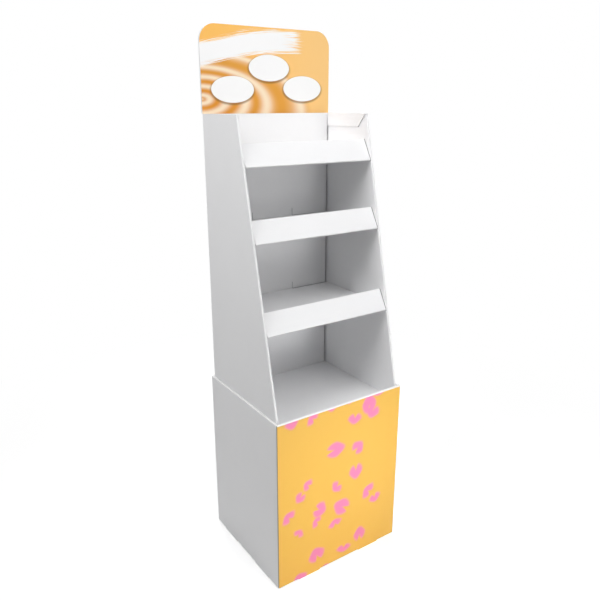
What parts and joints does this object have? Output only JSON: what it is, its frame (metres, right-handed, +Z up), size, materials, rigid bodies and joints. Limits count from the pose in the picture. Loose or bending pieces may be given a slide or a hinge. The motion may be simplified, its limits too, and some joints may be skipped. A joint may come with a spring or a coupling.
{
  "type": "cardboard display stand",
  "caption": "Free-standing display stand of folded white corrugated board: printed box base, slant-fronted body, tiers with leaning lips and a rounded printed header.",
  "frame": {"origin": "on the floor under the middle of the base, at the level of the feet's ends", "axes": "+X to the right seen from the front, +Y to the back, +Z up; the printed front faces -Y"},
  "size_m": [0.4, 0.345, 1.396],
  "materials": {
    "base_board": "white coated board, yellow-orange print on the front",
    "inner_board": "white coated board",
    "body_board": "white coated board",
    "shelf_board": "white coated board",
    "printed_board": "satin orange print"
  },
  "bodies": {
    "root": {"base_box": "base_board", "partition_wide": "inner_board", "partition_deep": "inner_board", "base_tray": "inner_board", "display_body": "body_board", "shelf_lower": "shelf_board", "shelf_middle": "shelf_board", "shelf_upper": "shelf_board", "header_board": "printed_board"}
  },
  "joints": []
}
